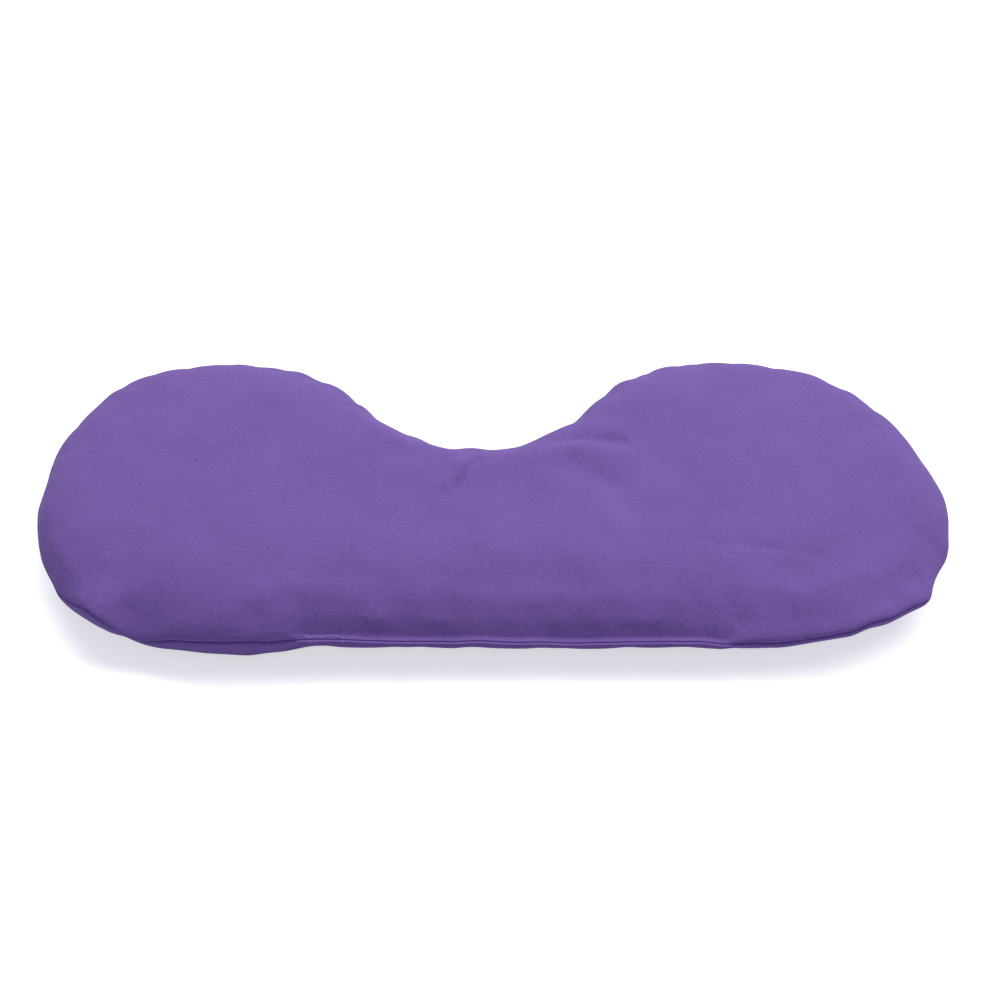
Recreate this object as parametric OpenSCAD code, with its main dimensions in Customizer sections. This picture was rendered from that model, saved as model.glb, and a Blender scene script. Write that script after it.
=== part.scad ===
// Eye pillow: two cloth panels sewn edge to edge around a loose fill of seed,
// in the shape of a pair of spectacles, with a notch at the back for the nose.
// Millimetres, +Z up. The origin is under the middle of the pillow, on the table
// that it lies on. The straight sewn-up edge is at the front, on -Y.

/* [Outline] */
// Width over both lobes
pillow_w = 240; // [210:1:270]
// Depth of a lobe from front to back
lobe_d = 100; // [85:1:110]
// How far the nose notch cuts in from the back
notch_depth = 33; // [22:1:42]

/* [Crown] */
// Height of the seam above the table
seam_h = 10; // [7:0.5:13]
// Height of the crown above the seam
crown_h = 13; // [9:0.5:18]
// How much lower the crown is across the bridge
bridge_dip = 2; // [0:0.25:4]
// Half the width of the level top along the bridge
ridge_half = 12.5; // [8:0.5:16]
// Direction from the middle of the right lobe to its thin corner, which holds less seed
thin_a = -58; // [-75:1:-40]
// Height of the crown above the seam in the thin corner
thin_h = 9; // [7:0.5:11]
// Distance over which the thin corner fills out again
thin_reach = 40; // [30:1:45]
// How far in from the seam the pillow touches the table
foot_run = 16; // [12:0.5:22]

/* [Cloth] */
// Thickness of the cotton cloth
cloth_t = 0.5; // [0.3:0.05:0.7]
// Width of the turned-in seam allowance
seam_allowance = 7; // [5:0.5:9]
// Distance from the edge at which the cloth has rolled over the seam
edge_roll = 0.7; // [0.5:0.1:1]

/* [Closing edge] */
// Plain seam between the left lobe and the sewn-up edge
closing_left = 19; // [15:1:30]
// Plain seam between the right lobe and the sewn-up edge
closing_right = 9; // [8:1:30]
// Depth of the flat lip in front of the topstitch
lip_w = 3; // [2:0.25:4.5]
// Length over which the lip fades into the plain seam
lip_fade = 6; // [4:0.5:7.5]

/* [Thread] */
// Diameter of the sewing thread
thread_d = 0.4; // [0.25:0.05:0.5]
// Distance from the edge to the seam stitches
stitch_inset = 1.5; // [1.2:0.1:2]
// Distance from the edge to the closing topstitch
topstitch_inset = 2.2; // [1.6:0.1:2.4]
// Length of the backtack at each end of the topstitch
backtack_len = 8; // [4:0.5:12]

/* [Fill] */
// Clearance between the cloth and the seed
fill_gap = 0.3; // [0.2:0.05:0.5]
// Lavender buds in each lobe
lobe_buds = 6; // [4:1:10]
// Lavender buds along the bridge
bridge_buds = 3; // [2:1:5]
// Length of a lavender bud
bud_len = 5; // [3:0.25:6]
// Diameter of a lavender bud
bud_d = 2.2; // [1.5:0.1:2.8]

/* [Hidden] */
$fn = 32;

cloth_colour = "#7a5dab";
thread_colour = "#6b4fa3";
seed_colour = "#6f4a2a";
bud_colour = "#8d86b5";

// Clearances between faces that lie on each other, and the overlap of spliced thread
touch_gap = 0.03;
ply_gap = 0.15;
bud_gap = 0.2;
splice_len = 0.3;

// Plan of the seam: two lobe circles, a notch circle tangent to both, a straight front
lobe_r = lobe_d / 2;
lobe_x = pillow_w / 2 - lobe_r;
notch_floor = lobe_r - notch_depth;
notch_r = (lobe_x * lobe_x + notch_floor * notch_floor - lobe_r * lobe_r) / (2 * notch_depth);
notch_y = notch_floor + notch_r;
tangent_a = 180 - atan2(notch_y, lobe_x);
bridge_y = (notch_floor - lobe_r) / 2;
thin_p = [lobe_x + 0.94 * lobe_r * cos(thin_a), 0.94 * lobe_r * sin(thin_a)];

// Crown, lip and slot heights, counted from the seam
crown_run = (lobe_d - notch_depth) / 2 - ridge_half;
thin_share = thin_h / crown_h;
lip_h = 2 * cloth_t + ply_gap;
slot_h = cloth_t + thread_d + fill_gap;
slot_depth = seam_allowance + fill_gap;
fill_inset = cloth_t + fill_gap;

// The sewn-up stretch of the front edge
closing_x0 = -lobe_x + closing_left;
closing_x1 = lobe_x - closing_right;

// Stations round the outline
straight_steps = 12;
lip_steps = straight_steps - 4;
quarter_steps = 9;
shoulder_steps = 5;
lobe_steps = 2 * quarter_steps + shoulder_steps;
stations = 2 * (straight_steps + lobe_steps);

// Rings from the seam to the crown, as shares of the rise; a face inside skips one
knots = [0, 0.023, 0.066, 0.15, 0.28, 0.46, 0.69, 1];
lip_knot = 2;
outer_rings = [0, 1, 2, 3, 4, 5, 6, 7];
inner_rings = [0, 1, 2, 3, 4, 6, 7];
fill_rings = [2, 3, 4, 6, 7];

function mix(a, b, share) = a + (b - a) * share;
function reversed(list) = [for (i = [len(list) - 1:-1:0]) list[i]];
function on_arc(angle) = [cos(angle), sin(angle)];

// Places along the straight front, with the ends of the lip among them
front_x = [-lobe_x, closing_x0 - lip_fade,
           for (i = [0:lip_steps]) mix(closing_x0, closing_x1, i / lip_steps),
           closing_x1 + lip_fade];
lobe_angles = [for (i = [0:2 * quarter_steps - 1]) -90 + 90 * i / quarter_steps,
               for (i = [0:shoulder_steps - 1]) mix(90, tangent_a, i / shoulder_steps)];

// Each station is [point on the seam, direction into the pillow, share of lip]
front_stations = [for (i = [0:straight_steps - 1])
    [[front_x[i], -lobe_r], [0, 1], i > 1 && i < straight_steps - 1 ? 1 : 0]];
right_stations = [for (a = lobe_angles)
    [[lobe_x, 0] + lobe_r * on_arc(a), -on_arc(a), 0]];
notch_stations = [for (i = [0:straight_steps - 1])
    let (a = mix(tangent_a - 180, -tangent_a, i / straight_steps))
    [[0, notch_y] + notch_r * on_arc(a), on_arc(a), 0]];
left_stations = [for (i = [0:lobe_steps - 1])
    let (a = i == 0 ? 180 - tangent_a : 180 - lobe_angles[lobe_steps - i])
    [[-lobe_x, 0] + lobe_r * on_arc(a), -on_arc(a), 0]];
outline = concat(front_stations, right_stations, notch_stations, left_stations);

// Rise of a quarter ellipse, and a flatter one for the thin corner
function rise(share) = sqrt(1 - pow(1 - share, 2));
function thin_rise(share) = thin_share * mix(rise(share), 1 - pow(1 - share, 2), 0.5);
function mixed_rise(share, thin) = mix(rise(share), thin_rise(share), thin);

// How far a place belongs to the thin corner
function thin_at(p) = exp(-pow(norm(p - thin_p) / thin_reach, 2));

// Height of the crown at x, lower across the bridge
function crown_at(x) =
    crown_h - (abs(x) < lobe_x ? bridge_dip * (1 + cos(180 * x / lobe_x)) / 2 : 0);

// Distance from the seam of ring k, for a face that lies inset from the outside
function plain_run(k, run, inset) = inset + knots[k] * (run - inset);
function after_lip(k) = (knots[k] - knots[lip_knot]) / (1 - knots[lip_knot]);
function lip_run(k, run, inset, setback) =
    k == 0 ? inset :
    k < lip_knot ? inset + edge_roll :
    let (start = lip_w + inset + setback) start + after_lip(k) * (run - start);

// Height from the seam of ring k, up or down, never below the floor of the face
function plain_rise(k, height, inset, floor_h, thin) =
    max(floor_h, height * mixed_rise(knots[k], thin) - inset * rise(knots[k]));
function lip_rise(k, height, inset, floor_h, thin) =
    k == 0 ? floor_h :
    let (base = max(floor_h, lip_h - inset), share = after_lip(k))
    k <= lip_knot ? base : base + (height - base) * mixed_rise(share, thin) - inset * rise(share);

// Ring k of the upper or lower face
function upper_ring(k, inset, floor_h, setback) = [for (s = outline)
    let (run = mix(plain_run(k, crown_run, inset), lip_run(k, crown_run, inset, setback), s[2]),
         p = s[0] + run * s[1],
         top = crown_at(p[0]),
         thin = thin_at(p))
    [p[0], p[1], seam_h + mix(plain_rise(k, top, inset, floor_h, thin),
                              lip_rise(k, top, inset, floor_h, thin), s[2])]];
function lower_ring(k, inset, floor_h, setback) = [for (s = outline)
    let (run = mix(plain_run(k, foot_run, inset), lip_run(k, foot_run, inset, setback), s[2]),
         p = s[0] + run * s[1])
    [p[0], p[1], seam_h - mix(plain_rise(k, seam_h, inset, floor_h, 0),
                              lip_rise(k, seam_h, inset, floor_h, 0), s[2])]];
function flat_ring(inset, z) = [for (s = outline)
    let (p = s[0] + inset * s[1]) [p[0], p[1], z]];

// A closed solid through a stack of rings, capped at its first and last
module ring_solid(rings, first_z, last_z) {
    last = len(rings) - 1;
    centre = (last + 1) * stations;
    points = concat([for (r = rings) each r],
                    [for (z = [first_z, last_z]) each [[lobe_x, 0, z], [-lobe_x, 0, z]]]);
    polyhedron(points, concat(
        [for (r = [0:last - 1], j = [0:stations - 1])
            let (a = r * stations, b = a + stations, next = (j + 1) % stations)
            each [[a + j, a + next, b + next], [a + j, b + next, b + j]]],
        [for (t = cap_faces(0, centre)) reversed(t)],
        cap_faces(last * stations, centre + 2)));
}

// Fans over the two lobes and a strip over the bridge
function cap_faces(first, centre) =
    let (right = straight_steps, notch = right + lobe_steps, left = notch + straight_steps,
         at = function(j) first + j % stations)
    concat(
        [for (j = [right:notch - 1]) [centre, at(j), at(j + 1)]],
        [[centre, at(notch), at(right)]],
        [for (j = [left:stations - 1]) [centre + 1, at(j), at(j + 1)]],
        [[centre + 1, at(stations), at(left)]],
        [for (i = [0:straight_steps - 1])
            each [[at(i), at(i + 1), at(left - i - 1)], [at(i), at(left - i - 1), at(left - i)]]]);

// Upper cloth panel with its seam allowance turned in
module top_panel() {
    color(cloth_colour) ring_solid(concat(
        [for (k = reversed(outer_rings)) upper_ring(k, 0, 0, 0)],
        [flat_ring(seam_allowance, seam_h), flat_ring(seam_allowance, seam_h + cloth_t)],
        [for (k = inner_rings) upper_ring(k, cloth_t, cloth_t, 0)]),
        seam_h + crown_h, seam_h + crown_h - cloth_t);
}

// Lower cloth panel, flat where it lies on the table
module bottom_panel() {
    color(cloth_colour) ring_solid(concat(
        [for (k = reversed(inner_rings)) lower_ring(k, cloth_t, cloth_t, 0)],
        [flat_ring(seam_allowance, seam_h - cloth_t), flat_ring(seam_allowance, seam_h)],
        [for (k = outer_rings) lower_ring(k, 0, 0, 0)]),
        cloth_t, 0);
}

// Seed lying loose in the pillow, with a slot round the seam allowances
module seed_mass() {
    ring_solid(concat(
        [for (k = reversed(fill_rings)) upper_ring(k, fill_inset, slot_h, slot_h)],
        [flat_ring(slot_depth, seam_h + slot_h), flat_ring(slot_depth, seam_h - slot_h)],
        [for (k = fill_rings) lower_ring(k, fill_inset, slot_h, slot_h)]),
        seam_h + crown_h - fill_inset, fill_inset);
}

module flaxseed_fill() {
    color(seed_colour) difference() {
        seed_mass();
        each_bud() bud(bud_gap);
    }
}

// One dried bud along X, larger all round by the allowance given
module bud(extra) {
    half = bud_len / 2 + extra;
    radius = bud_d / 2 + extra;
    steps = 5;
    rotate([0, 90, 0]) rotate_extrude()
        polygon([for (i = [0:steps]) [radius * sin(180 * i / steps), -half * cos(180 * i / steps)]]);
}

// Buds on a spiral in each lobe and in a row along the bridge
module each_bud() {
    spread_r = lobe_r - slot_depth - bud_len;
    middle_z = seam_h + (crown_h - seam_h) / 2;
    swing_z = min(seam_h, crown_h) / 3;
    golden_a = 137.5;
    for (side = [-1, 1], i = [0:lobe_buds - 1])
        translate([side * lobe_x, 0, middle_z + swing_z * sin(golden_a * 2 * i)])
            rotate([0, 0, side * golden_a * i])
                translate([spread_r * sqrt((i + 0.5) / lobe_buds), 0, 0])
                    rotate([0, 0, 50 * i]) children();
    for (i = [0:bridge_buds - 1])
        translate([mix(-lobe_x, lobe_x, (i + 1) / (bridge_buds + 1)), bridge_y,
                   middle_z - swing_z * (i % 2)])
            rotate([0, 0, 70 * i]) children();
}

module lavender_buds() {
    color(bud_colour) each_bud() bud(0);
}

// Stretch of thread along X, round in section
module straight_thread(x0, x1, y, z) {
    translate([x0, y, z]) rotate([0, 90, 0]) cylinder(d = thread_d, h = x1 - x0);
}

// Stretch of thread bent round a centre
module bent_thread(radius, from_a, sweep_a, diameter) {
    rotate([0, 0, from_a]) rotate_extrude(angle = sweep_a)
        translate([radius, 0]) circle(d = diameter);
}

// One thread of the seam, from the end of the sewn-up edge round to its start
module seam_thread(z) {
    edge_y = -lobe_r + stitch_inset;
    side_thread(lobe_x - closing_x1 - lip_fade, edge_y, z);
    mirror([1, 0, 0]) side_thread(lobe_x + closing_x0 - lip_fade, edge_y, z);
    // Round the notch the thread is pulled taut, and runs into its neighbours
    run_r = notch_r + stitch_inset;
    taut_d = 0.92 * thread_d;
    splice_a = atan(splice_len / run_r);
    translate([0, notch_y, z])
        bent_thread(run_r, -tangent_a - splice_a, 2 * (tangent_a - 90 + splice_a), taut_d);
}

// The thread along one side: a straight stretch at the front, then round the lobe
module side_thread(straight_len, edge_y, z) {
    straight_thread(lobe_x - straight_len, lobe_x, edge_y, z);
    translate([lobe_x, 0, z])
        bent_thread(lobe_r - stitch_inset, -90, tangent_a + 90, thread_d);
}

module seam_needle_thread() {
    color(thread_colour) seam_thread(seam_h + cloth_t + touch_gap + thread_d / 2);
}

module seam_bobbin_thread() {
    color(thread_colour) seam_thread(seam_h - cloth_t - touch_gap - thread_d / 2);
}

// One thread of the topstitch, turned back beside itself at both ends
module closing_thread(z) {
    edge_y = -lobe_r + topstitch_inset;
    turn_r = thread_d * 0.75;
    end_in = turn_r + thread_d / 2;
    x0 = closing_x0 + end_in;
    x1 = closing_x1 - end_in;
    straight_thread(x0, x1, edge_y, z);
    for (end = [[x0, x0, x0 + backtack_len, 90], [x1, x1 - backtack_len, x1, -90]]) {
        translate([end[0], edge_y - turn_r, z]) bent_thread(turn_r, end[3], 180, thread_d);
        straight_thread(end[1], end[2], edge_y - 2 * turn_r, z);
    }
}

module closing_needle_thread() {
    color(thread_colour) closing_thread(seam_h + lip_h + touch_gap + thread_d / 2);
}

module closing_bobbin_thread() {
    color(thread_colour) closing_thread(seam_h - lip_h - touch_gap - thread_d / 2);
}

top_panel();
bottom_panel();
seam_needle_thread();
seam_bobbin_thread();
closing_needle_thread();
closing_bobbin_thread();
flaxseed_fill();
lavender_buds();
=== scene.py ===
import math
import bmesh
import bpy
import numpy as np
from mathutils import Matrix, Vector, kdtree, noise


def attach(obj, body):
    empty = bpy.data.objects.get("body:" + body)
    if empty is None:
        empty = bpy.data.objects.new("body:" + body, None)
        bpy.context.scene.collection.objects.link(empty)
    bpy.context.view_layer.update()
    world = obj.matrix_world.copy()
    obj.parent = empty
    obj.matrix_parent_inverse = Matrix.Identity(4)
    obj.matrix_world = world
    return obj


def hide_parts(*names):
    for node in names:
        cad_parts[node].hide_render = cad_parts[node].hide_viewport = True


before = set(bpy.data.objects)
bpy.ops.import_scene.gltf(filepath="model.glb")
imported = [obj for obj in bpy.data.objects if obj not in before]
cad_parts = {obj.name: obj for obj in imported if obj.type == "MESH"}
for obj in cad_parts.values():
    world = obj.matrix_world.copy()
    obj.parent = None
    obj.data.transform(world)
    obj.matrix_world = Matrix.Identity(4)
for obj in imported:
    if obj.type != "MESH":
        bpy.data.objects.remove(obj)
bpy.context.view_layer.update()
scene = bpy.context.scene
mm = 0.001
up = Vector((0, 0, 1))
uvSize = 100 * mm  # cloth that one unit of the UV map covers
bandScale = math.pi / 10  # scale at which a wave texture has one band per unit

# the cut of both panels: two lobes, a nose notch at the back, a straight front
cut = dict(
    width=240 * mm,
    lobeDepth=100 * mm,
    notchDepth=33 * mm,
    ease=4 * mm,  # cloth that the crown takes up all round
    seamStep=2.2 * mm,  # spacing of the points along the seam
    rows=[2.8 * mm, 5 * mm, 8 * mm],  # rows of cloth that run along the seam
    meshStep=2.4 * mm,  # spacing of the points inside
    meshGap=0.7,  # share of that spacing between the last row and the points inside
    closing=(-48.5 * mm, 54 * mm),  # the filling gap, sewn shut from outside
    closingFade=3 * mm,
    frontBefore=-35 * mm,  # the seam's points before this lie on the front
)
lobeR = cut["lobeDepth"] / 2
lobeX = cut["width"] / 2 - lobeR
notchFloor = lobeR - cut["notchDepth"]
notchR = (lobeX**2 + notchFloor**2 - lobeR**2) / (2 * cut["notchDepth"])
notchY = notchFloor + notchR
tangentA = math.pi - math.atan2(notchY, lobeX)


def smooth(t):
    t = max(0, min(1, t))
    return t * t * (3 - 2 * t)


def edgeDistance(x, y):
    # how far a point of the cut lies inside its seam line
    x = abs(x)
    towards = math.atan2(y, x - lobeX)
    if towards < -math.pi / 2:
        towards += 2 * math.pi
    if x >= lobeX or y > 0 and towards <= tangentA:
        return lobeR - math.hypot(x - lobeX, y)
    return min(y + lobeR, math.hypot(x, y - notchY) - notchR)


def inwards(x, y):
    # direction in plan that leads straight away from the seam line
    step = 0.2 * mm
    gx = edgeDistance(x + step, y) - edgeDistance(x - step, y)
    gy = edgeDistance(x, y + step) - edgeDistance(x, y - step)
    return Vector((gx, gy, 0)) / max(1e-9, math.hypot(gx, gy))


def closingShare(p):
    # 1 along the sewn-up edge, 0 elsewhere on the seam
    low, high = cut["closing"]
    if p.y > cut["frontBefore"]:
        return 0
    return smooth(min(p.x - low, high - p.x) / cut["closingFade"] + 1)


def vertsOf(geom):
    return [g for g in geom if isinstance(g, bmesh.types.BMVert)]


def edgesOf(geom):
    return [g for g in geom if isinstance(g, bmesh.types.BMEdge)]


def seamLoop(bm):
    # right half by turning one point about the lobe and the notch, left half mirrored
    grow = cut["ease"]
    start = bm.verts.new((lobeX, -lobeR - grow, 0))
    sweep = tangentA + math.pi / 2
    steps = round((lobeR + grow) * sweep / cut["seamStep"])
    spun = bmesh.ops.spin(bm, geom=[start], cent=(lobeX, 0, 0), axis=up, angle=sweep, steps=steps)
    last = vertsOf(spun["geom_last"])[0]
    sweep = tangentA - math.pi / 2
    steps = round((notchR - grow) * sweep / cut["seamStep"])
    bmesh.ops.spin(bm, geom=[last], cent=(0, notchY, 0), axis=up, angle=-sweep, steps=steps)
    bmesh.ops.mirror(bm, geom=bm.verts[:] + bm.edges[:], axis="X", merge_dist=1e-6)
    front = bm.edges.new([v for v in bm.verts if len(v.link_edges) == 1])
    bmesh.ops.subdivide_edges(bm, edges=[front], cuts=round(2 * lobeX / cut["seamStep"]))
    return bm.edges[:]


def walkLoop(edges):
    # points of a closed loop in order, anticlockwise from the left end of the front
    inLoop = set(edges)
    first = min((v for e in edges for v in e.verts), key=lambda v: abs(v.co.x + lobeX) + v.co.y)
    edge = max((e for e in first.link_edges if e in inLoop), key=lambda e: e.other_vert(first).co.x)
    order = [first]
    while edge.other_vert(order[-1]) != first:
        order.append(edge.other_vert(order[-1]))
        edge = next(e for e in order[-1].link_edges if e in inLoop and e != edge)
    return order


def growLoop(bm, loop):
    # one more row on a loop of edges: its edges, and each new point with the one it grew from
    old = {v for e in loop for v in e.verts}
    geom = bmesh.ops.extrude_edge_only(bm, edges=loop)["geom"]
    source = {}
    for v in vertsOf(geom):
        source[v] = next(e.other_vert(v) for e in v.link_edges if e.other_vert(v) in old)
    return edgesOf(geom), source


def fixOrder(bm):
    # the fill leaves its edges and faces in an order that changes from run to run
    count = len(bm.verts)

    def rank(part):
        low = sorted(v.index for v in part.verts)
        return (low[0] * count + low[1]) * count + low[-1]

    bm.verts.index_update()
    bm.edges.sort(key=rank)
    bm.faces.sort(key=rank)


def flatPanel():
    # rows along the seam, then a square mesh inside them; row 1 is the seam itself
    bm = bmesh.new()
    row = bm.verts.layers.int.new("row")
    loop = seamLoop(bm)
    for v in bm.verts:
        v[row] = 1
    depth = 0
    for n, band in enumerate(cut["rows"]):
        ring = walkLoop(loop)
        inward = {}
        for i, v in enumerate(ring):
            along = ring[(i + 1) % len(ring)].co - ring[i - 1].co
            inward[v] = up.cross(along).normalized() * (band - depth)
        loop, source = growLoop(bm, loop)
        for v in source:
            v[row] = n + 2
            v.co += inward[source[v]]
        depth = band
    half = cut["width"] / 2
    steps = round(2 * half / cut["meshStep"])
    inner = max(cut["rows"]) - cut["ease"] + cut["meshGap"] * cut["meshStep"]
    grid = bmesh.ops.create_grid(bm, x_segments=steps, y_segments=steps, size=half)["verts"]
    outside = [v for v in grid if edgeDistance(v.co.x, v.co.y) < inner]
    bmesh.ops.delete(bm, geom=outside, context="VERTS")
    stray = [v for v in bm.verts if v[row] == 0 and not v.link_faces]
    bmesh.ops.delete(bm, geom=stray, context="VERTS")
    rim = [e for e in bm.edges if e.is_boundary and not any(v[row] for v in e.verts)]
    bmesh.ops.triangle_fill(bm, use_beauty=True, edges=rim + loop, normal=up)
    bmesh.ops.recalc_face_normals(bm, faces=bm.faces[:])
    fixOrder(bm)
    return bm


# the filled shape that the cloth is drawn onto before it puckers, counted from the seam
# a run is the distance from the seam over which a side reaches its full height
stuffing = dict(
    seamHeight=10 * mm,
    crown=12.6 * mm,
    crownRun=21 * mm,
    domePower=2.2,
    bowPower=1.5,
    foot=10 * mm,
    footRun=18 * mm,
    closingFootRun=25 * mm,
    footFade=20 * mm,  # stretch before the middle over which the closing's run takes over
    bridgeDip=2 * mm,
    notchTaut=0.35,  # how much shorter the crown's run is beside the nose notch
    notchHalf=55 * mm,  # half the width of that part, and where it begins in depth
    notchFade=25 * mm,
    notchFrom=-8 * mm,
    notchFromFade=14 * mm,
    shoulder=(0.72, 10.5 * mm, 38 * mm),  # front: share of the crown reached early, its run, the rest's run
    frontStart=-22 * mm,  # where the front begins, and where it ends on the left
    frontFade=18 * mm,
    frontLeft=-75 * mm,
    frontLeftFade=40 * mm,
    tauter=0.08,  # how much shorter that first run is towards the right
    tauterFade=60 * mm,
    tauterFrom=0.2,  # how far that has set in at the middle
    thinCorners=[  # the front corners hold less seed: place, reach, share above and below
        ((91 * mm, -42 * mm), 48 * mm, 1, 0.5),
        ((-89 * mm, -43 * mm), 18 * mm, 0.85, 0),
        ((54 * mm, -46 * mm), 13 * mm, 0.22, 0),
    ],
    thinShoulder=(0.45, 12 * mm, 48 * mm),  # the shoulder's three values at the thin corners
    thinFootRun=24 * mm,
    uneven=0.4 * mm,  # unevenness that the puckers start from
    unevenScale=140,
    unevenAt=(0, 31, 67),  # places in the noise for x, y and z
    fullness=0.022,  # spare cloth beside the seam, as a share of its length
    seamSpare={1: 0, 2: 0.7},  # share of that spare cloth in the seam and the row beside it
    slack=0.2,  # share of it in the middle of a panel
    pressed=0.25,  # share of it under the pillow and along the closing
    pressedBefore=-25 * mm,  # the part along the closing lies before this
    puckerDepth=14 * mm,
    seamHold=0.2,
    pressure=0.3,
    vertexMass=0.1,
    tension=15,
    shear=5,
    bending=0.3,
    quality=6,
    frames=14,
    calm=0.25,  # share of the puckering that is left in the middle, where the seed presses the cloth smooth
    calmFrom=8 * mm,  # distance from the seam at which that sets in
)


def domed(u):
    # rises steeply, then levels out
    return math.sqrt(1 - (1 - min(1, u)) ** stuffing["domePower"])


def bowed(u):
    # rises at a slant and levels out
    return 1 - (1 - min(1, u)) ** stuffing["bowPower"]


def thinShare(p, lower):
    # how far a place belongs to the thin corners
    total = 0
    for centre, reach, above, below in stuffing["thinCorners"]:
        far = (p.xy - Vector(centre)).length / reach
        total += (below if lower else above) * math.exp(-far * far)
    return total


def footHeight(p, d):
    # height of the lower side, d inside the seam line
    front = smooth(-p.y / stuffing["footFade"]) * closingShare(Vector((p.x, -lobeR)))
    run = stuffing["footRun"] + (stuffing["closingFootRun"] - stuffing["footRun"]) * front
    full, thinned = domed(d / run), bowed(d / stuffing["thinFootRun"])
    return -stuffing["foot"] * (full + (thinned - full) * thinShare(p, True))


def crownHeight(p, d):
    # height of the upper side, d inside the seam line
    front = smooth((stuffing["frontStart"] - p.y) / stuffing["frontFade"])
    front *= smooth((p.x - stuffing["frontLeft"]) / stuffing["frontLeftFade"])
    share, run, rest = stuffing["shoulder"]
    run *= 1 - stuffing["tauter"] * smooth(p.x / stuffing["tauterFade"] + stuffing["tauterFrom"])
    early = share * bowed(d / run) + (1 - share) * smooth(d / rest)
    share, run, rest = stuffing["thinShoulder"]
    thinned = share * bowed(d / run) + (1 - share) * min(1, d / rest)
    notch = smooth((stuffing["notchHalf"] - abs(p.x)) / stuffing["notchFade"])
    notch *= smooth((p.y - stuffing["notchFrom"]) / stuffing["notchFromFade"])
    full = domed(d / (stuffing["crownRun"] * (1 - stuffing["notchTaut"] * notch)))
    full += (early - full) * front
    dip = stuffing["bridgeDip"] * (1 + math.cos(math.pi * min(1, abs(p.x) / lobeX))) / 2
    return (stuffing["crown"] - dip) * (full + (thinned - full) * thinShare(p, False))


def filledPlace(p, row, lower):
    # where a point of the flat cut lies once the pillow is full
    middle = lobeR - cut["notchDepth"] / 2 + cut["ease"]
    d = edgeDistance(p.x, p.y) + cut["ease"]
    p = p + inwards(p.x, p.y) * cut["ease"] * max(0, 1 - d / middle)
    d = 0 if row == 1 else max(0, edgeDistance(p.x, p.y))
    p.z = footHeight(p, d) if lower else crownHeight(p, d)
    places = [p * stuffing["unevenScale"] + Vector((k, 0, 0)) for k in stuffing["unevenAt"]]
    return p + Vector([noise.noise(q) for q in places]) * stuffing["uneven"]


def sewnBag():
    # two panels sewn together along row 1
    bm = flatPanel()
    row = bm.verts.layers.int["row"]
    lower = bm.faces.layers.int.new("lower")
    flat = bm.verts.layers.float_vector.new("flat")
    for v in bm.verts:
        v[flat] = v.co
    copied = bmesh.ops.duplicate(bm, geom=bm.verts[:] + bm.edges[:] + bm.faces[:])
    under = [f for f in copied["geom"] if isinstance(f, bmesh.types.BMFace)]
    underPoints = set(vertsOf(copied["geom"]))
    for f in under:
        f[lower] = 1
    bmesh.ops.reverse_faces(bm, faces=under)
    sewn = {}
    for v, twin in copied["vert_map"].items():
        if v not in underPoints and v[row] == 1:
            sewn[twin] = v
    for v in bm.verts:
        v.co = filledPlace(v.co, v[row], v in underPoints)
    bmesh.ops.weld_verts(bm, targetmap=sewn)
    bmesh.ops.recalc_face_normals(bm, faces=bm.faces[:])
    bm.verts.index_update()
    return bm


def pucker(bm):
    # cloth simulation: spare cloth beside the seam buckles into puckers
    row = bm.verts.layers.int["row"]
    mesh = bpy.data.meshes.new("bag")
    bm.to_mesh(mesh)
    bag = bpy.data.objects.new("bag", mesh)
    scene.collection.objects.link(bag)
    spare = bag.vertex_groups.new(name="spare")
    held = bag.vertex_groups.new(name="held")
    for v in bm.verts:
        near = max(0, 1 - max(0, edgeDistance(v.co.x, v.co.y)) / stuffing["puckerDepth"])
        share = stuffing["seamSpare"].get(v[row], stuffing["slack"] + (1 - stuffing["slack"]) * near)
        closing = closingShare(Vector((v.co.x, -lobeR))) * (v.co.y < stuffing["pressedBefore"])
        smoothed = max(1 if v.co.z < 0 else closing, thinShare(v.co, False))
        share *= 1 - (1 - stuffing["pressed"]) * smoothed
        fast = v[row] in (1, 2) and closingShare(v.co) == 1
        spare.add([v.index], 1 - share, "REPLACE")
        held.add([v.index], 1 if fast else stuffing["seamHold"] * (v[row] == 1), "REPLACE")
    modifier = bag.modifiers.new("Cloth", "CLOTH")
    settings = modifier.settings
    settings.quality = stuffing["quality"]
    settings.mass = stuffing["vertexMass"]
    settings.tension_stiffness = settings.compression_stiffness = stuffing["tension"]
    settings.shear_stiffness = stuffing["shear"]
    settings.bending_stiffness = stuffing["bending"]
    settings.use_pressure = True
    settings.uniform_pressure_force = stuffing["pressure"]
    settings.vertex_group_shrink = spare.name
    settings.shrink_min = -stuffing["fullness"]
    settings.vertex_group_mass = held.name
    settings.effector_weights.gravity = 0
    modifier.collision_settings.use_collision = False
    modifier.point_cache.frame_end = stuffing["frames"]
    for n in range(1, stuffing["frames"] + 1):
        scene.frame_set(n)
    done = bag.evaluated_get(bpy.context.evaluated_depsgraph_get()).data
    for v, w in zip(bm.verts, done.vertices):
        inside = edgeDistance(v.co.x, v.co.y) - stuffing["calmFrom"]
        near = smooth(1 - inside / (2 * stuffing["puckerDepth"]))
        v.co = v.co.lerp(w.co, stuffing["calm"] + (1 - stuffing["calm"]) * near)
    scene.frame_set(1)
    bpy.data.objects.remove(bag)


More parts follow.
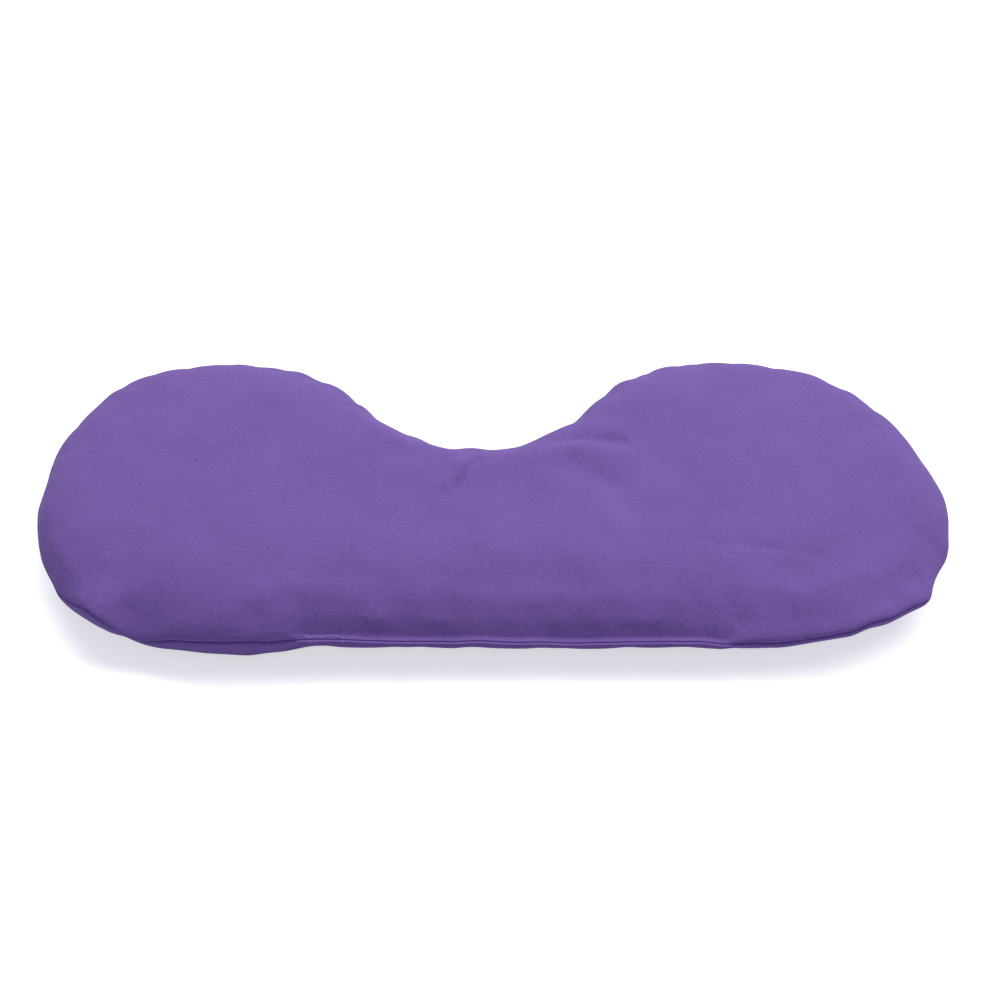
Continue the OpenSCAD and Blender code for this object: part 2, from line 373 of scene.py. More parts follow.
# given changes to the stuffed bag, in millimetres: the lean of the right lobe, soft pulls,
# corners that the puckers leave along the seam, and creases pressed into the top
handWork = dict(
    lean=(-8, 40, 0.1),  # starts at x, full after, share of y
    pulls=[  # centre, reach and move
        ((27, 24, 12), 22, (-0.5, 4.5, 0)),
        ((94, -42, 8), 22, (-0.5, 0, 0)),
        ((108, -30, 8), 16, (-0.7, -1, 0)),
        ((98, -40, 8), 14, (0, 2.6, 0)),
        ((-102, -38, 8), 18, (-1.5, -2.2, 0)),
        ((-119, -16, 11), 13, (-1.2, 0, 0)),
        ((-92, -45, 4), 6, (0.8, 1.7, 0)),
        ((-62, 46, 12), 22, (0, -1, 0)),
        ((-119, 6, 12), 16, (1.2, 0, 0)),
        ((117, -25, 10), 7, (-0.7, 0, 0)),
        ((112, -36, 10), 4, (1.6, -1.6, 0)),
        ((-103, -41, 8), 11, (-0.4, -1.8, 0)),
        ((-100, -42, 14), 7, (0.3, 1.2, 0)),
        ((-99, -44, 5), 7, (-0.2, -0.8, 0)),
        ((112, 12, 12), 18, (-1.8, 0, 0)),
        ((45, 42, 14), 18, (0, 1.5, 0)),
        ((-95, 38, 12), 16, (-0.8, 1.2, 0)),
        ((-33, 32, 12), 14, (0, -2.6, 0)),
        ((96, -44, 10), 16, (0.3, -1.5, 0)),
        ((-66, -47, 3), 16, (0, -1.8, 0)),
        ((102, -40, 8), 8, (0, -0.7, 0)),
        ((66, -48, 5), 10, (0, -0.9, 0)),
        ((-59, -48, 4), 6, (0, -0.8, 0)),
        ((-22, 22, 12), 5, (0, 1.3, 0)),
        ((-2, 17, 12), 30, (0, -1.1, 0)),
        ((-4, 17, 12), 4, (0, -1.1, 0)),
        ((8, 18, 12), 5, (0, 1.1, 0)),
        ((-115, 16, 11), 8, (-0.8, 0, 0)),
        ((117, 4, 11), 8, (0.5, 0, 0)),
        ((89, 43, 11), 7, (0.5, 0.4, 0)),
        ((102, 32, 11), 6, (-0.6, -0.2, 0)),
        ((104, -38, 2), 11, (0.4, -1.7, 0)),
        ((82, -48, 4), 7, (0, 0.8, 0)),
    ],
    pullEnd=3,  # reaches after which a pull is too weak to count
    dips=[  # where the seam runs lower, or higher, than elsewhere: centre, reach and depth
        ((98, -41), 18, -2.5),
        ((114, -24), 15, 1.5),
        ((-45, -50), 15, -1.3),
        ((10, -50), 40, -0.5),
        ((18, -50), 14, 0.7),
        ((-68, -50), 15, -1.6),
        ((-101, -42), 8, -5),
        ((-89, -46), 6, 2),
    ],
    corners=[  # where the outline turns, and how far it stands out there
        ((-81, 50), 0.6),
        ((-73, 50), 1),
        ((-52, 46), 1.1),
        ((-42, 39), 0.9),
        ((-21, 20), 0.7),
        ((-5, 17), 0.5),
        ((36, 42), 0.9),
        ((51, 49), 0.8),
        ((60, 50), 0.7),
        ((72, 50), 0.5),
        ((93, 44), 1.1),
        ((102, 36), 0.8),
        ((111, 23), 0.8),
        ((118, -3), 1),
        ((119, -18), 1),
        ((111, -34), 2.2),
        ((97, -42), 0.7),
        ((86, -47), 0.8),
        ((-57, -50), 0.4),
        ((-84, -49), 0.5),
        ((-98, -43), 1),
        ((-111, -31), 1),
        ((-118, -21), 1),
        ((-121, -5), 0.6),
        ((-118, 11), 0.6),
        ((-115, 21), 0.6),
        ((-106, 36), 1.2),
        ((-93, 46), 1),
    ],
    cornerWidth=5,
    cornerDepth=9,
    creases=[  # from, to, width and depth; a fold that stands up has a negative depth
        ((-6.6, 4.6), (-11.8, -5.2), 1.7, -0.7),
        ((-4, 4.4), (-9.4, -5.8), 1, 1.2),
        ((17.5, 13), (34, 11.8), 2.3, 1.5),
        ((17, 9.8), (30.5, 7.4), 3, -0.6),
        ((20, 3.6), (30.5, -3), 3.4, 1),
        ((30.5, -3), (37, -14), 4.2, 0.8),
        ((55, -25), (72, -26.5), 1.2, 0.36),
        ((72, -26.5), (85, -29), 1.2, 0.25),
        ((-91, -47), (-87, -48), 2, 0.8),
    ],
    creasesFrom=3,  # height above the seam at which the creased top starts
    finePart=(3, 4),  # creases narrower than this get a finer mesh this far on both sides
    lumps=(0.5, 18, 4),  # lumps of seed under the cloth: height, width, height over which they set in
    floorSoftness=1.5,  # rounding of the lower side where it meets the floor
    settleBelow=6,  # height up to which the lower side is set down on the floor
)


def seamCorners(ring):
    # how far each point of the seam is pushed out, or drawn in between the corners
    width = handWork["cornerWidth"] * mm
    pushes = []
    for v in ring:
        shares = [h * math.exp(-(v.co.xy - Vector(c) * mm).length / width) for c, h in handWork["corners"]]
        pushes.append(sum(shares) * mm)
    middle = sum(pushes) / len(pushes)
    return [p - middle for p in pushes]


def alongSegment(p, a, b):
    # distance from p to the stroke a-b in plan
    a, b = Vector(a) * mm, Vector(b) * mm
    t = max(0, min(1, (p - a).dot(b - a) / (b - a).length_squared))
    return (p - a.lerp(b, t)).length


def turnCorners(bm):
    # moves of all points that give the outline its corners
    row = bm.verts.layers.int["row"]
    ring = walkLoop([e for e in bm.edges if all(v[row] == 1 for v in e.verts)])
    pushes = seamCorners(ring)
    nearest = kdtree.KDTree(len(ring))
    for i, v in enumerate(ring):
        nearest.insert(Vector((v.co.x, v.co.y, 0)), i)
    nearest.balance()
    moves = []
    for v in bm.verts:
        _, i, far = nearest.find(Vector((v.co.x, v.co.y, 0)))
        share = math.exp(-far / (handWork["cornerDepth"] * mm)) * (1 - closingShare(ring[i].co))
        moves.append(-inwards(v.co.x, v.co.y) * pushes[i] * share)
    return moves


def pullAndDip(bm):
    for centre, reach, move in handWork["pulls"]:
        centre, move = Vector(centre) * mm, Vector(move) * mm
        for v in bm.verts:
            far = (v.co - centre).length / (reach * mm)
            if far < handWork["pullEnd"]:
                v.co += move * math.exp(-far * far)
    seamHeight, crown = stuffing["seamHeight"], stuffing["crown"]
    for centre, reach, depth in handWork["dips"]:
        for v in bm.verts:
            far = (v.co.xy - Vector(centre) * mm).length / (reach * mm)
            low = v.co.z / seamHeight
            share = low if low < 1 else max(0, 1 - (low - 1) * seamHeight / crown)
            v.co.z -= depth * mm * math.exp(-far * far) * max(0, share)


def creaseTop(bm):
    row = bm.verts.layers.int["row"]
    high = stuffing["seamHeight"] + handWork["creasesFrom"] * mm
    narrow, reach = handWork["finePart"]
    top = [v for v in bm.verts if v.co.z > high and v[row] == 0]
    fine = set()
    for a, b, width, depth in handWork["creases"]:
        if width < narrow:
            fine.update(v for v in top if alongSegment(v.co.xy, a, b) < reach * mm)
    within = [e for e in bm.edges if fine.issuperset(e.verts)]
    bmesh.ops.subdivide_edges(bm, edges=within, cuts=1, use_grid_fill=True)
    height, wide, fade = handWork["lumps"]
    for v in bm.verts:
        if v.co.z > high:
            v.co.z += height * mm * noise.noise(v.co / (wide * mm)) * smooth((v.co.z - high) / (fade * mm))
            for a, b, width, depth in handWork["creases"]:
                far = alongSegment(v.co.xy, a, b) / (width * mm)
                v.co.z -= depth * mm * math.exp(-far * far)


def setDown(bm):
    # the lower side lies flat on the floor and rounds up from it
    soft = handWork["floorSoftness"] * mm
    for v in bm.verts:
        z = v.co.z - cloth["thickness"]
        v.co.z = (z + math.sqrt(z * z + soft * soft)) / 2
    lowest = min(v.co.z for v in bm.verts) - cloth["thickness"] / 2
    for v in bm.verts:
        v.co.z -= lowest * smooth(1 - v.co.z / (handWork["settleBelow"] * mm))


def shapeByHand(bm):
    start, width, slope = handWork["lean"]
    for v, move in zip(bm.verts, turnCorners(bm)):
        v.co += move
        v.co.x -= slope * v.co.y * smooth((v.co.x / mm - start) / width)
        v.co.z += stuffing["seamHeight"]
    pullAndDip(bm)
    creaseTop(bm)
    setDown(bm)


# how each panel is turned in at its edge; pairs are millimetres out and away from the seam
cloth = dict(
    thickness=0.28 * mm,
    plyGap=0.16 * mm,
    lead=0.7,  # share of the last row's width by which the cloth runs on before it rolls
    roll=(1, 1.5),  # how the cloth rolls over the seam
    overhang=(3.2, -0.6),  # the same where the top hangs over the seam and hides it
    overhangAt=(-92 * mm, -45 * mm),
    overhangReach=7 * mm,
    flange=1.8 * mm,  # width that the closing's stitches press flat
    flangeLead=0.5,  # share of the lead that is left above the flange
    flangeAbove=dict(height=0.9, out=0, lift=0, come=(-0.85, 1.05), go=(0.45, -0.7)),
    flangeBelow=dict(height=0.5, out=0.85, lift=0.2, come=(2.2, 2), go=(0.8, 0)),  # stands out a little
    foldTop=(-0.7, 0.12),  # where the flange's folded edge starts, seen from the seam
    foldCome=(-0.5, 0.1),
    foldGo=(0.4, 0),
    foldEnd=(0.05, 0.06),
    rumple=(0.4, 5),  # lumps at the left end of the closing: height, and how many seam steps they take
    turnedIn=[1.2 * mm, 4 * mm],
    rows=(4, 3, 3),  # down to the stitches, along the flange, round its fold
)


def bezier(a, b, c, d, t):
    s = 1 - t
    return a * s**3 + b * 3 * s * s * t + c * 3 * s * t * t + d * t**3


def onePanel(bag, lower):
    bm = bag.copy()
    isLower = bm.faces.layers.int["lower"]
    bmesh.ops.delete(bm, geom=[f for f in bm.faces if f[isLower] != lower], context="FACES")
    return bm


def flangeOf(outside):
    return cloth["flangeAbove"] if outside.z > 0 else cloth["flangeBelow"]


def edgeStations(bm, outside):
    # what the edge of one panel does at each point of the seam
    row = bm.verts.layers.int["row"]
    flat = bm.verts.layers.float_vector["flat"]
    ring = walkLoop([e for e in bm.edges if e.is_boundary])
    shape = flangeOf(outside)
    lumpHeight, lumpSteps = cloth["rumple"]
    stations = []
    for i, v in enumerate(ring):
        along = ring[(i + 2) % len(ring)].co - ring[i - 2].co
        out = Vector((along.y, -along.x, 0)).normalized()
        rows = [v]
        for n in (2, 3, 4):
            beside = [e.other_vert(rows[-1]) for e in rows[-1].link_edges]
            rows.append(next(w for w in beside if w[row] == n))
        lip = closingShare(Vector(v[flat]))
        far = (v.co.xy - Vector(cloth["overhangAt"])).length / cloth["overhangReach"]
        over = math.exp(-far * far) if outside.z > 0 else 0
        inside = v.co + outside * cloth["plyGap"] + out * shape["out"] * lip * mm
        steps = (v[flat].x - cut["closing"][0]) / cut["seamStep"]
        lump = lumpHeight * math.cos(math.pi * steps) * smooth(1 - steps / lumpSteps) * lip
        stations.append(
            dict(
                rows=rows,
                inside=inside,
                seam=inside - outside * shape["lift"] * lip * mm,
                stitched=inside - out * cloth["flange"] + outside * (shape["height"] + lump) * mm,
                start=rows[2].co.copy(),
                lead=rows[2].co + (rows[2].co - rows[3].co) * cloth["lead"],
                out=out,
                lip=lip,
                roll=Vector(cloth["roll"]).lerp(Vector(cloth["overhang"]), over),
                seamFlat=Vector(v[flat]),
                startFlat=Vector(rows[2][flat]),
            )
        )
    return stations


def edgePath(s, outside):
    # places from the start of the edge to the seam: a plain roll, or along the closing down to
    # the stitches, out along the flange and round its fold
    def off(p, pair):
        return p + (s["out"] * pair[0] + outside * pair[1]) * mm

    shape = flangeOf(outside)
    a, q, d = s["start"], s["stitched"], s["seam"]
    top = off(d, cloth["foldTop"])
    curves = [
        (a, a.lerp(s["lead"], cloth["flangeLead"]), off(q, shape["come"]), q),
        (q, off(q, shape["go"]), off(top, cloth["foldCome"]), top),
        (top, off(top, cloth["foldGo"]), off(d, cloth["foldEnd"]), d),
    ]
    flange = [bezier(*c, (n + 1) / count) for c, count in zip(curves, cloth["rows"]) for n in range(count)]
    plain = [bezier(a, s["lead"], off(d, s["roll"]), d, (n + 1) / len(flange)) for n in range(len(flange))]
    return [p.lerp(f, s["lip"]) for p, f in zip(plain, flange)]


def turnIn(bm, stations, outside):
    # the edge of a panel, and behind it the seam allowance
    flat = bm.verts.layers.float_vector["flat"]
    at = {}
    for s in stations:
        away = s["seamFlat"] - s["startFlat"]
        path = edgePath(s, outside)
        laid = [s["startFlat"] + away * (n + 1) / len(path) for n in range(len(path))]
        path += [s["inside"] - s["out"] * depth for depth in cloth["turnedIn"]]
        laid += [s["seamFlat"] + away.normalized() * depth for depth in cloth["turnedIn"]]
        at[s["rows"][2]] = list(zip(path, laid))
    count = len(path)
    bmesh.ops.delete(bm, geom=[v for s in stations for v in s["rows"][:2]], context="VERTS")
    loop = [e for e in bm.edges if e.is_boundary]
    for n in range(count):
        loop, source = growLoop(bm, loop)
        at = {v: at[w] for v, w in source.items()}
        for v, places in at.items():
            v.co, v[flat] = places[n]
    uv = bm.loops.layers.uv.new("cut")
    for f in bm.faces:
        f.smooth = True
        for corner in f.loops:
            corner[uv].uv = Vector(corner.vert[flat]).xy / uvSize
    bmesh.ops.recalc_face_normals(bm, faces=bm.faces[:])
    return bm


# machine stitches: one bent piece of thread, laid end to end along a path
stitching = dict(
    thread=0.42 * mm,
    stitch=2.7 * mm,
    gap=0.35 * mm,
    arch=0.3 * mm,
    sides=7,
    bends=5,
    sunk=0.65,  # thread widths by which the closing's stitches sink into the cloth
    backtack=6,  # points of the seam over which the closing is sewn back
    backRows=(1, 4),  # rows of the flange that the backtack runs between
    backRise=0.3,  # share of the thread's half width by which it stands off them
    seamInset=1.3 * mm,
)


def oneStitch():
    bm = bmesh.new()
    half, arch = stitching["stitch"] / 2, stitching["arch"]
    bend = (half * half + arch * arch) / (2 * arch)
    turn = 2 * math.asin(half / bend)
    lay = Matrix.Translation((0, 0, bend)) @ Matrix.Rotation(math.pi / 2, 4, "Y")
    thick, sides = stitching["thread"], stitching["sides"]
    made = bmesh.ops.create_circle(bm, segments=sides, radius=thick / 2, cap_ends=True, matrix=lay)
    bmesh.ops.rotate(bm, verts=made["verts"], matrix=Matrix.Rotation(-turn / 2, 3, "Y"))
    geom = bm.verts[:] + bm.edges[:] + bm.faces[:]
    bends = stitching["bends"]
    bmesh.ops.spin(bm, geom=geom, cent=(0, 0, 0), axis=(0, 1, 0), angle=turn, steps=bends)
    bmesh.ops.translate(bm, verts=bm.verts, vec=(0, 0, -bend))
    bmesh.ops.recalc_face_normals(bm, faces=bm.faces[:])
    return bm


def stitchRow(path, outside):
    # repeats the stitch along the path, standing off to the outside of the cloth
    template = bpy.data.meshes.new("stitch")
    one = oneStitch()
    one.to_mesh(template)
    one.free()
    bm = bmesh.new()
    step = stitching["stitch"] + stitching["gap"]
    reach = [0]
    for a, b in zip(path, path[1:]):
        reach.append(reach[-1] + (b - a).length)
    points = np.array([list(q) for q in path])

    def placeAt(s):
        return Vector([np.interp(s, reach, points[:, k]) for k in range(3)])

    for n in range(int(reach[-1] / step)):
        a, b = placeAt(n * step), placeAt(n * step + stitching["stitch"])
        along = (b - a).normalized()
        across = outside.cross(along).normalized()
        turn = Matrix((along, across, along.cross(across))).transposed().to_4x4()
        before = len(bm.verts)
        bm.from_mesh(template)
        bm.verts.ensure_lookup_table()
        bmesh.ops.transform(bm, verts=bm.verts[before:], matrix=Matrix.Translation((a + b) / 2) @ turn)
    bpy.data.meshes.remove(template)
    for f in bm.faces:
        f.smooth = True
    return bm


def closingPath(stations, outside):
    # starts to and fro across the flange, where the thread is locked
    sewn = [s for s in stations if s["lip"] > 0.999]
    proud = cloth["thickness"] / 2 - stitching["thread"] * stitching["sunk"]
    rise = (cloth["thickness"] + stitching["thread"] * stitching["backRise"]) / 2
    back = []
    for n, s in enumerate(sewn[: stitching["backtack"]]):
        across = edgePath(s, outside)[cloth["rows"][0] + stitching["backRows"][n % 2]]
        back.append(across + outside * rise)
    return back[::-1] + [s["stitched"] + outside * proud for s in sewn]


def seamPath(stations, outside):
    # from the right end of the closing round the back to its left end
    ends = [i for i, s in enumerate(stations) if s["lip"] > 0.5]
    plain = stations[ends[-1] :] + stations[: ends[0]]
    flush = cloth["thickness"] / 2 + stitching["thread"] / 2 + stitching["arch"]
    return [s["seam"] - s["out"] * stitching["seamInset"] + outside * flush for s in plain]


# the seed inside, drawn as one heap that fills the bag up to the turned-in edges
seedHeap = dict(clearance=0.4 * mm)


def heapMesh(bag):
    bm = bag.copy()
    row = bm.verts.layers.int["row"]
    bm.normal_update()
    for v in bm.verts:
        v.co -= v.normal * (cloth["thickness"] / 2 + seedHeap["clearance"])
    bmesh.ops.delete(bm, geom=[v for v in bm.verts if v[row] in (1, 2)], context="VERTS")
    bmesh.ops.bridge_loops(bm, edges=[e for e in bm.edges if e.is_boundary])
    bmesh.ops.recalc_face_normals(bm, faces=bm.faces[:])
    for f in bm.faces:
        f.smooth = True
    return bm


def makePiece(name, bm, material, nodes):
    mesh = bpy.data.meshes.new(name)
    bm.to_mesh(mesh)
    bm.free()
    mesh.materials.append(material)
    piece = bpy.data.objects.new(name, mesh)
    scene.collection.objects.link(piece)
    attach(piece, "root")
    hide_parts(*nodes)
    return piece


def linear(hexText):
    # an sRGB hex colour as linear light
    parts = [int(hexText[i : i + 2], 16) / 255 for i in (1, 3, 5)]
    return [c / 12.92 if c <= 0.04045 else ((c + 0.055) / 1.055) ** 2.4 for c in parts] + [1]


def add(tree, kind, inputs=None, links=None, **settings):
    made = tree.nodes.new(kind)
    for name, value in settings.items():
        setattr(made, name, value)
    for name, value in (inputs or {}).items():
        made.inputs[name].default_value = value
    for name, source in (links or {}).items():
        tree.links.new(source, made.inputs[name])
    return made


def newMaterial(name, constants):
    material = bpy.data.materials.new(name)
    material.use_nodes = True
    shader = material.node_tree.nodes["Principled BSDF"]
    for socket, value in constants.items():
        shader.inputs[socket].default_value = value
    return material, material.node_tree, shader


def perUv(size):
    # texture scale that gives features of this many millimetres on the cloth's own UV map
    return uvSize / (size * mm)


def wovenCotton():
    # dyed plain-woven cotton, washed soft: matt, mottled along the weft, with a short nap
    # threads 0.45 mm apart are too fine to show, so they are drawn 0.65 mm apart
    constants = {
        "Roughness": 0.92,
        "Specular IOR Level": 0.08,
        "Sheen Weight": 0.2,
        "Sheen Roughness": 0.6,
        "Sheen Tint": linear("#c8b2e6"),
    }
    material, tree, shader = newMaterial("wovenCotton", constants)
    uv = add(tree, "ShaderNodeUVMap", uv_map="cut").outputs["UV"]
    bands = {"Scale": perUv(0.65) * bandScale, "Distortion": 2.5, "Detail": 2, "Detail Scale": 0.6}
    warp = add(tree, "ShaderNodeTexWave", bands, {"Vector": uv}, bands_direction="X").outputs["Fac"]
    weft = add(tree, "ShaderNodeTexWave", bands, {"Vector": uv}, bands_direction="Y").outputs["Fac"]
    weave = add(tree, "ShaderNodeMath", None, {0: warp, 1: weft}, operation="MAXIMUM")
    drawn = add(tree, "ShaderNodeMapping", {"Scale": (perUv(7), perUv(0.8), 1)}, {"Vector": uv})
    slub = add(tree, "ShaderNodeTexNoise", {"Scale": 1, "Detail": 2}, {"Vector": drawn.outputs["Vector"]})
    spread = add(tree, "ShaderNodeMapping", {"Scale": (perUv(1.3), perUv(0.7), 1)}, {"Vector": uv})
    grain = {"Scale": 1, "Detail": 3, "Roughness": 0.6}
    mottle = add(tree, "ShaderNodeTexNoise", grain, {"Vector": spread.outputs["Vector"]})
    patch = add(tree, "ShaderNodeTexNoise", {"Scale": perUv(24), "Detail": 2}, {"Vector": uv})
    nap = add(tree, "ShaderNodeTexNoise", {"Scale": perUv(0.6), "Detail": 2}, {"Vector": uv})
    dye = add(tree, "ShaderNodeValToRGB", None, {"Fac": mottle.outputs["Fac"]})
    for stop, at, colour in zip(dye.color_ramp.elements, (0.3, 0.7), ("#7157aa", "#8163ac")):
        stop.position, stop.color = at, linear(colour)
    uneven = {"From Min": 0.3, "From Max": 0.7, "To Min": 0.96, "To Max": 1.04}
    wash = add(tree, "ShaderNodeMapRange", uneven, {"Value": patch.outputs["Fac"]})
    uneven.update({"To Min": 0.97, "To Max": 1.03})
    streak = add(tree, "ShaderNodeMapRange", uneven, {"Value": slub.outputs["Fac"]})
    both = {0: wash.outputs[0], 1: streak.outputs[0]}
    shade = add(tree, "ShaderNodeMath", None, both, operation="MULTIPLY")
    shaded = {0: dye.outputs["Color"], "Scale": shade.outputs[0]}
    dyed = add(tree, "ShaderNodeVectorMath", None, shaded, operation="SCALE")
    cells = add(tree, "ShaderNodeTexVoronoi", {"Scale": perUv(13)}, {"Vector": uv})
    size = add(tree, "ShaderNodeSeparateColor", None, {"Color": cells.outputs["Color"]})
    fewer = {"From Min": 0.55, "To Max": 0.026}
    limit = add(tree, "ShaderNodeMapRange", fewer, {"Value": size.outputs["Red"]})
    near = {0: cells.outputs["Distance"], 1: limit.outputs[0]}
    lint = add(tree, "ShaderNodeMath", None, near, operation="LESS_THAN")
    laid = {"Factor": lint.outputs[0], "A": dyed.outputs[0]}
    specked = add(tree, "ShaderNodeMix", {"B": linear("#4f3f72")}, laid, data_type="RGBA")
    tree.links.new(specked.outputs["Result"], shader.inputs["Base Color"])
    threads = {0: weave.outputs[0], 2: slub.outputs["Fac"]}
    raised = add(tree, "ShaderNodeMath", {1: 0.12}, threads, operation="MULTIPLY_ADD")
    hairs = {0: nap.outputs["Fac"], 2: raised.outputs[0]}
    fuzz = add(tree, "ShaderNodeMath", {1: 0.7}, hairs, operation="MULTIPLY_ADD")
    relief = {"Strength": 0.25, "Distance": 0.25 * mm}
    bump = add(tree, "ShaderNodeBump", relief, {"Height": fuzz.outputs[0]})
    tree.links.new(bump.outputs["Normal"], shader.inputs["Normal"])
    return material


def spunThread():
    # spun cotton sewing thread: plies twisted round each other, a little glossier than the cloth
    # the twist is 0.3 mm long in life and is drawn 0.6 mm long
    material, tree, shader = newMaterial("spunThread", {"Roughness": 0.6, "Sheen Weight": 0.1})
    place = add(tree, "ShaderNodeTexCoord").outputs["Object"]
    turned = add(tree, "ShaderNodeMapping", {"Rotation": (0, 0.4, 0.6)}, {"Vector": place})
    plies = {"Scale": bandScale / (0.6 * mm)}
    twist = add(tree, "ShaderNodeTexWave", plies, {"Vector": turned.outputs["Vector"]})
    fibre = add(tree, "ShaderNodeTexNoise", {"Scale": 1 / (2 * mm), "Detail": 2}, {"Vector": place})
    tone = add(tree, "ShaderNodeValToRGB", None, {"Fac": fibre.outputs["Fac"]})
    for stop, at, colour in zip(tone.color_ramp.elements, (0.3, 0.7), ("#7a5cb2", "#9478c6")):
        stop.position, stop.color = at, linear(colour)
    tree.links.new(tone.outputs["Color"], shader.inputs["Base Color"])
    ridges = {"Height": twist.outputs["Fac"]}
    bump = add(tree, "ShaderNodeBump", {"Strength": 0.5, "Distance": 0.1 * mm}, ridges)
    tree.links.new(bump.outputs["Normal"], shader.inputs["Normal"])
    return material


def wholeFlaxseed():
    # whole brown flaxseed, 4 mm long and 2 mm wide: smooth oily coats in mixed browns, with painted shade
    # darkening each seed towards the gaps between seeds
    material, tree, shader = newMaterial("wholeFlaxseed", {"Roughness": 0.35, "Coat Weight": 0.2})
    place = add(tree, "ShaderNodeTexCoord").outputs["Object"]
    oneSeed = {"Scale": (1 / (4 * mm), 1 / (2 * mm), 1 / (2 * mm))}
    stretched = add(tree, "ShaderNodeMapping", oneSeed, {"Vector": place})
    seeds = add(tree, "ShaderNodeTexVoronoi", {"Scale": 1}, {"Vector": stretched.outputs["Vector"]})
    pick = add(tree, "ShaderNodeSeparateColor", None, {"Color": seeds.outputs["Color"]})
    coat = add(tree, "ShaderNodeValToRGB", None, {"Fac": pick.outputs["Red"]})
    for stop, colour in zip(coat.color_ramp.elements, ("#5a3218", "#9a6434")):
        stop.color = linear(colour)
    # painted shade: the seed colour darkens towards the cell edges, where shade falls in the gaps between
    # seeds; the same value also sets the bump
    gapShadeRange = {"From Min": 0.35, "From Max": 0.75, "To Min": 1, "To Max": 0.25}
    gap = add(tree, "ShaderNodeMapRange", gapShadeRange, {"Value": seeds.outputs["Distance"]})
    gapShadeDimmed = {0: coat.outputs["Color"], "Scale": gap.outputs[0]}
    shaded = add(tree, "ShaderNodeVectorMath", None, gapShadeDimmed, operation="SCALE")
    tree.links.new(shaded.outputs[0], shader.inputs["Base Color"])
    bump = add(tree, "ShaderNodeBump", {"Strength": 0.9, "Distance": 0.8 * mm}, {"Height": gap.outputs[0]})
    tree.links.new(bump.outputs["Normal"], shader.inputs["Normal"])
    return material


def driedLavender():
    # dried lavender buds: papery ribbed calyx, grey-violet fading to grey-green
    material, tree, shader = newMaterial("driedLavender", {"Roughness": 0.85})
    place = add(tree, "ShaderNodeTexCoord").outputs["Object"]
    fade = add(tree, "ShaderNodeTexNoise", {"Scale": 1 / (3 * mm), "Detail": 3}, {"Vector": place})
    tone = add(tree, "ShaderNodeValToRGB", None, {"Fac": fade.outputs["Fac"]})
    for stop, at, colour in zip(tone.color_ramp.elements, (0.35, 0.6), ("#7c7f63", "#6d6494")):
        stop.position, stop.color = at, linear(colour)
    tree.links.new(tone.outputs["Color"], shader.inputs["Base Color"])
    bands = {"Scale": bandScale / (0.5 * mm), "Distortion": 1}
    ribs = add(tree, "ShaderNodeTexWave", bands, {"Vector": place}, bands_direction="Y")
    relief = {"Strength": 0.6, "Distance": 0.15 * mm}
    bump = add(tree, "ShaderNodeBump", relief, {"Height": ribs.outputs["Fac"]})
    tree.links.new(bump.outputs["Normal"], shader.inputs["Normal"])
    return material


bagMesh = sewnBag()
print("cut and sewn:", len(bagMesh.verts), "points")
pucker(bagMesh)
shapeByHand(bagMesh)
print("stuffed:", [round(max(v.co[k] for v in bagMesh.verts) / mm, 1) for k in range(3)])

cotton, thread = wovenCotton(), spunThread()
upper, under = onePanel(bagMesh, 0), onePanel(bagMesh, 1)
topEdge, bottomEdge = edgeStations(upper, up), edgeStations(under, -up)
paths = [
    ("closingNeedleStitches", closingPath(topEdge, up), up, "closing_needle_thread"),
    ("closingBobbinStitches", closingPath(bottomEdge, -up), -up, "closing_bobbin_thread"),
    ("seamNeedleStitches", seamPath(topEdge, up), up, "seam_needle_thread"),
    ("seamBobbinStitches", seamPath(bottomEdge, -up), -up, "seam_bobbin_thread"),
]
turned = [turnIn(upper, topEdge, up), turnIn(under, bottomEdge, -up)]
topPanel = makePiece("topPanel", turned[0], cotton, ["top_panel"])
bottomPanel = makePiece("bottomPanel", turned[1], cotton, ["bottom_panel"])
for panel in (topPanel, bottomPanel):
    finer = panel.modifiers.new("Subdivision", "SUBSURF")
    finer.levels = finer.render_levels = 1
    wall = panel.modifiers.new("Solidify", "SOLIDIFY")
    wall.thickness = cloth["thickness"]
    wall.offset = 0
print("panels turned in")

for name, path, outside, node in paths:
    makePiece(name, stitchRow(path, outside), thread, [node])
print("stitched")

heap = makePiece("seedHeap", heapMesh(bagMesh), wholeFlaxseed(), ["flaxseed_fill"])
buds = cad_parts["lavender_buds"]
buds.data.materials.clear()
buds.data.materials.append(driedLavender())
print("filled")

# floor, light and camera
stage = dict(
    floorSize=6,
    floorLift=0.62,  # makes the pale floor white to the camera
    worldLight=0.22,
    skyTint=(0.95, 0.89, 1.25),
    keyPower=14.8,
    keyTint=(1, 1.06, 0.91),
    keyPlace=(0.17, 0.42, 1),
    keySize=(2, 0.6),
    aim=(1.8 * mm, 0.7 * mm, 10 * mm),
    elevation=45,
    distance=0.6845,
    viewAngle=22,
)


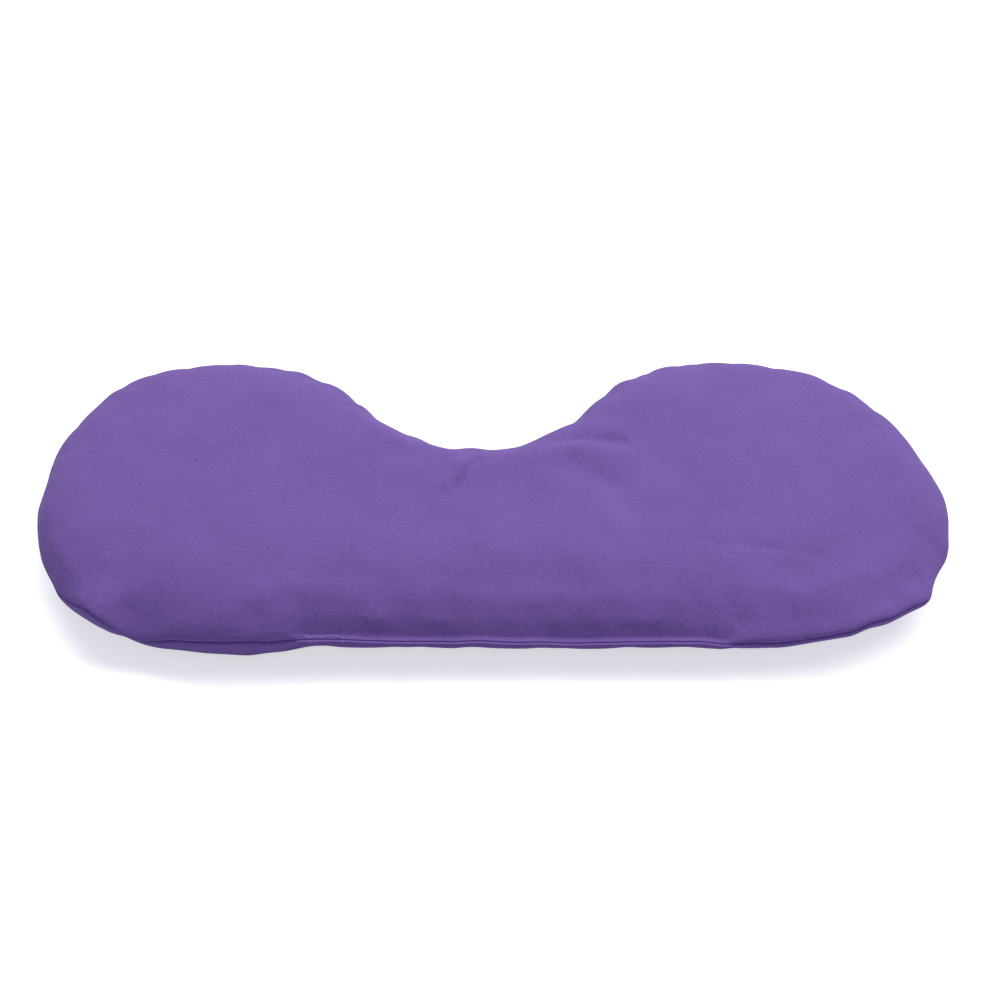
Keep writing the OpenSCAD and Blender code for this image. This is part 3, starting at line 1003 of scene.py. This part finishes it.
def seenDirectly(tree):
    # 1 where the camera, a reflection or a clear surface looks straight at it
    seen = add(tree, "ShaderNodeLightPath").outputs
    plain = {0: seen["Is Camera Ray"], 1: seen["Is Glossy Ray"]}
    either = add(tree, "ShaderNodeMath", None, plain, operation="MAXIMUM")
    every = {0: either.outputs[0], 1: seen["Is Transmission Ray"]}
    return add(tree, "ShaderNodeMath", None, every, operation="MAXIMUM").outputs[0]


white = (1, 1, 1, 1)
grid = bmesh.new()
bmesh.ops.create_grid(grid, x_segments=1, y_segments=1, size=stage["floorSize"] / 2)
floorMesh = bpy.data.meshes.new("floor")
grid.to_mesh(floorMesh)
grid.free()
floor = bpy.data.objects.new("floor", floorMesh)
scene.collection.objects.link(floor)
constants = {
    "Base Color": linear("#ececec"),
    "Roughness": 0.9,
    "Specular IOR Level": 0,
    "Emission Color": white,
}
paper, tree, shader = newMaterial("floorPaper", constants)
lift = add(tree, "ShaderNodeMath", {1: stage["floorLift"]}, {0: seenDirectly(tree)}, operation="MULTIPLY")
tree.links.new(lift.outputs[0], shader.inputs["Emission Strength"])
floorMesh.materials.append(paper)
scene.world = scene.world or bpy.data.worlds.new("World")
scene.world.use_nodes = True
sky = scene.world.node_tree
dim = [c * stage["worldLight"] for c in stage["skyTint"]] + [1]
shown = add(sky, "ShaderNodeMix", {"A": dim, "B": white}, {"Factor": seenDirectly(sky)}, data_type="RGBA")
sky.links.new(shown.outputs["Result"], sky.nodes["Background"].inputs["Color"])
lamp = bpy.data.lights.new("overhead", "AREA")
lamp.shape = "RECTANGLE"
lamp.size, lamp.size_y = stage["keySize"]
lamp.energy = stage["keyPower"]
lamp.color = stage["keyTint"]
overhead = bpy.data.objects.new("overhead", lamp)
overhead.location = stage["keyPlace"]
overhead.rotation_euler = (-overhead.location).to_track_quat("-Z", "Y").to_euler()
scene.collection.objects.link(overhead)
lens = bpy.data.cameras.new("camera")
lens.sensor_fit = "HORIZONTAL"
lens.angle = math.radians(stage["viewAngle"])
camera = bpy.data.objects.new("camera", lens)
aim = Vector(stage["aim"])
elevation = math.radians(stage["elevation"])
camera.location = aim + stage["distance"] * Vector((0, -math.cos(elevation), math.sin(elevation)))
camera.rotation_euler = (aim - camera.location).to_track_quat("-Z", "Y").to_euler()
scene.collection.objects.link(camera)
scene.camera = camera
scene.view_settings.view_transform = "Standard"
